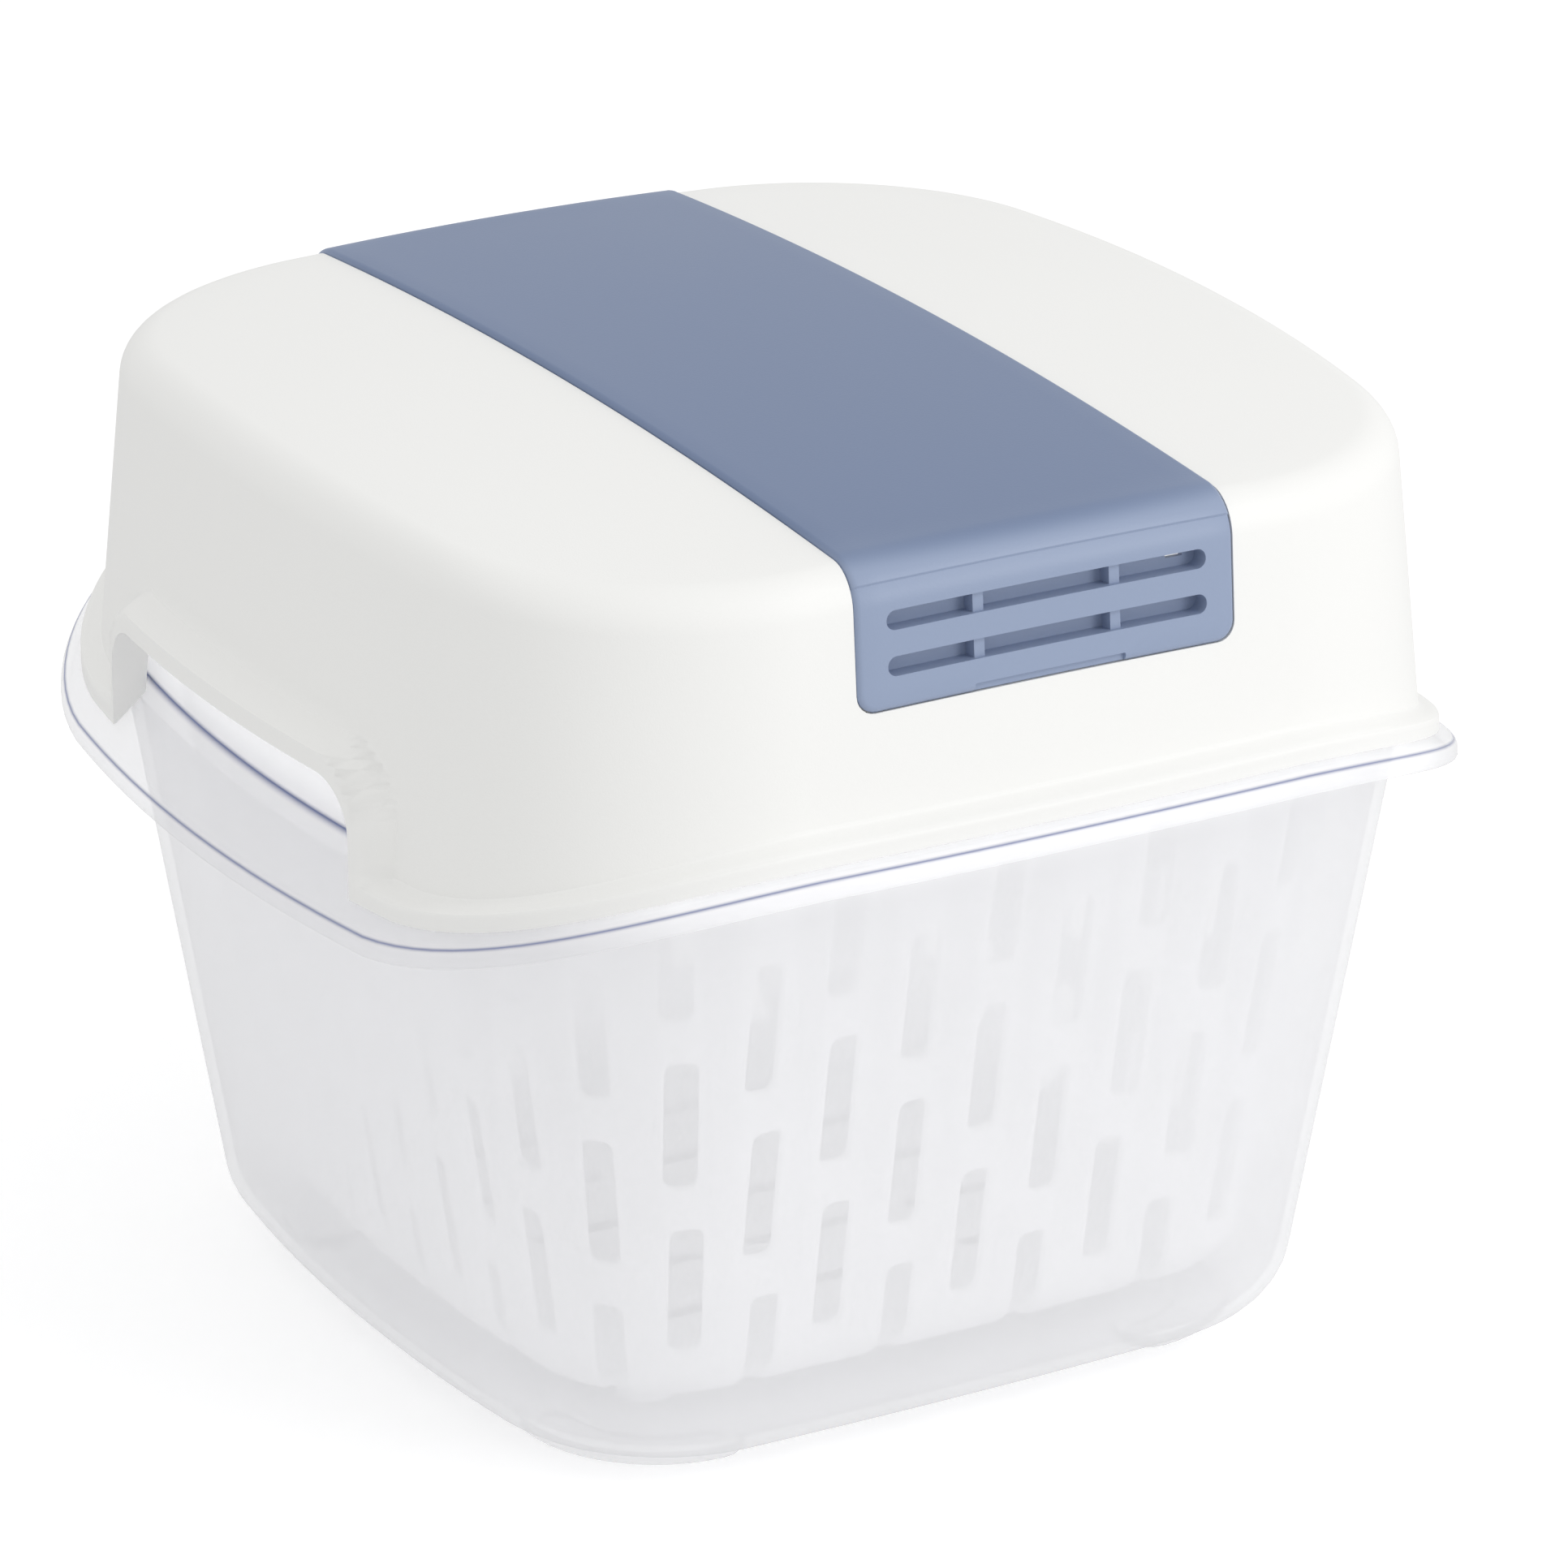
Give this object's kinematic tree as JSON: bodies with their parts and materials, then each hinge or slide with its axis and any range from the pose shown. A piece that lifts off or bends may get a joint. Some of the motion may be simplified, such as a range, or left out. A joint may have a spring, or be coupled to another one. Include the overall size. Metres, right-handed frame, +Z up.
{
  "type": "food storage container",
  "caption": "Rounded square clear bin with a strainer basket, a domed lid and a vent band.",
  "frame": {"origin": "centre of the plan, on the surface that the feet stand on", "axes": "+X across the grip sides, -Y towards the front grille, +Z up"},
  "size_m": [0.2534, 0.2512, 0.202],
  "materials": {
    "clear_plastic": "clear, glossy",
    "milky_plastic": "milky, translucent",
    "white_plastic": "satin white",
    "slate_plastic": "satin slate blue"
  },
  "bodies": {
    "root": {"container": "clear_plastic", "strainer_basket": "milky_plastic", "lid_shell": "white_plastic", "vent_band": "slate_plastic"}
  },
  "joints": []
}
